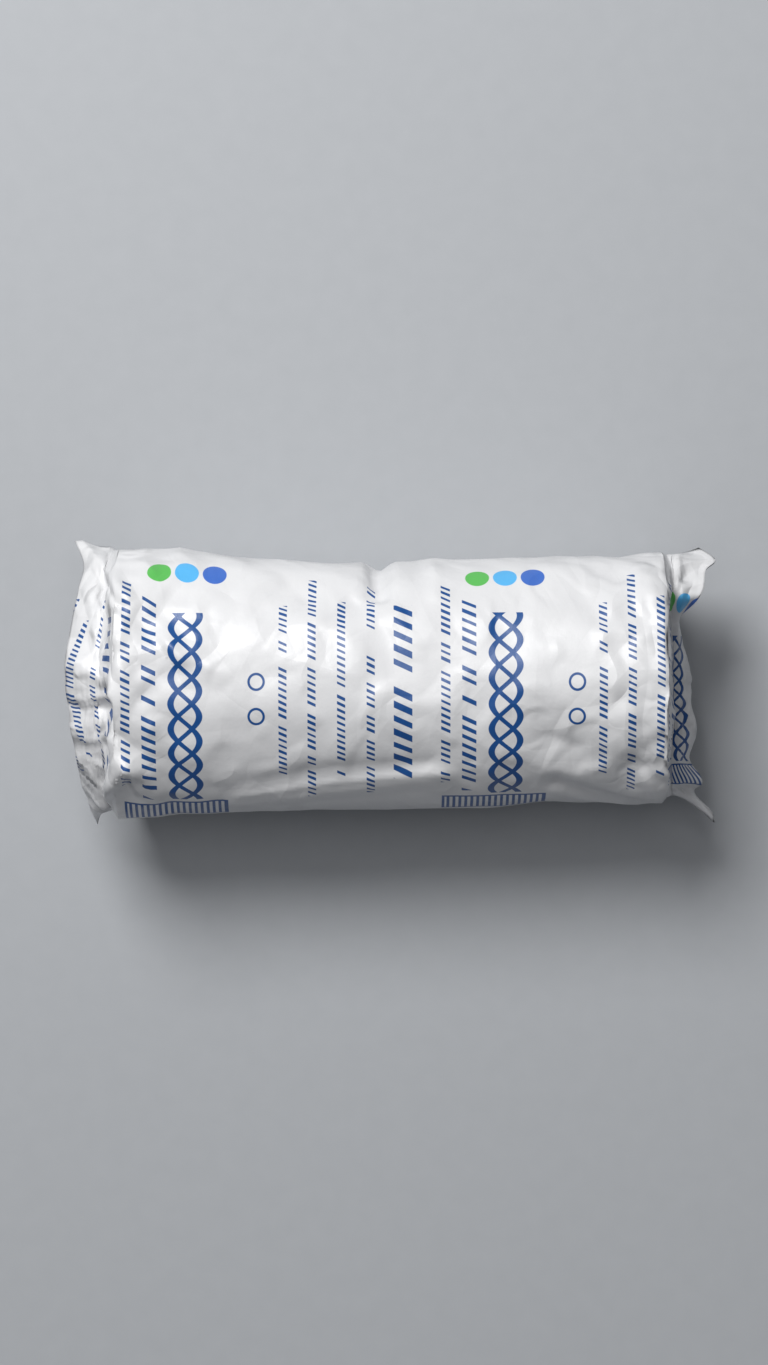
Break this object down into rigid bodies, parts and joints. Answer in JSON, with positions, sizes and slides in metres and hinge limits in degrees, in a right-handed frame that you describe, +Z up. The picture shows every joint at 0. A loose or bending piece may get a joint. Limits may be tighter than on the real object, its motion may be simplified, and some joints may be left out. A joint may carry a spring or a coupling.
{
  "type": "wrapped gauze bandage roll",
  "caption": "Roll of cotton gauze bandage closed in crinkled white printed film, with a crimped seal at each end, lying on its side.",
  "frame": {"origin": "middle of the footprint, on the surface the bandage lies on", "axes": "+X along the roll's axis to the end whose seal is turned down, +Y to the far side, +Z up"},
  "size_m": [0.1224, 0.0518, 0.0445],
  "materials": {
    "printed_film": "glossy crinkled white film with blue and green printing",
    "cotton_gauze": "open plain weave of white cotton"
  },
  "bodies": {
    "root": {"film_wrapper": "printed_film", "gauze_roll": "cotton_gauze"}
  },
  "joints": []
}
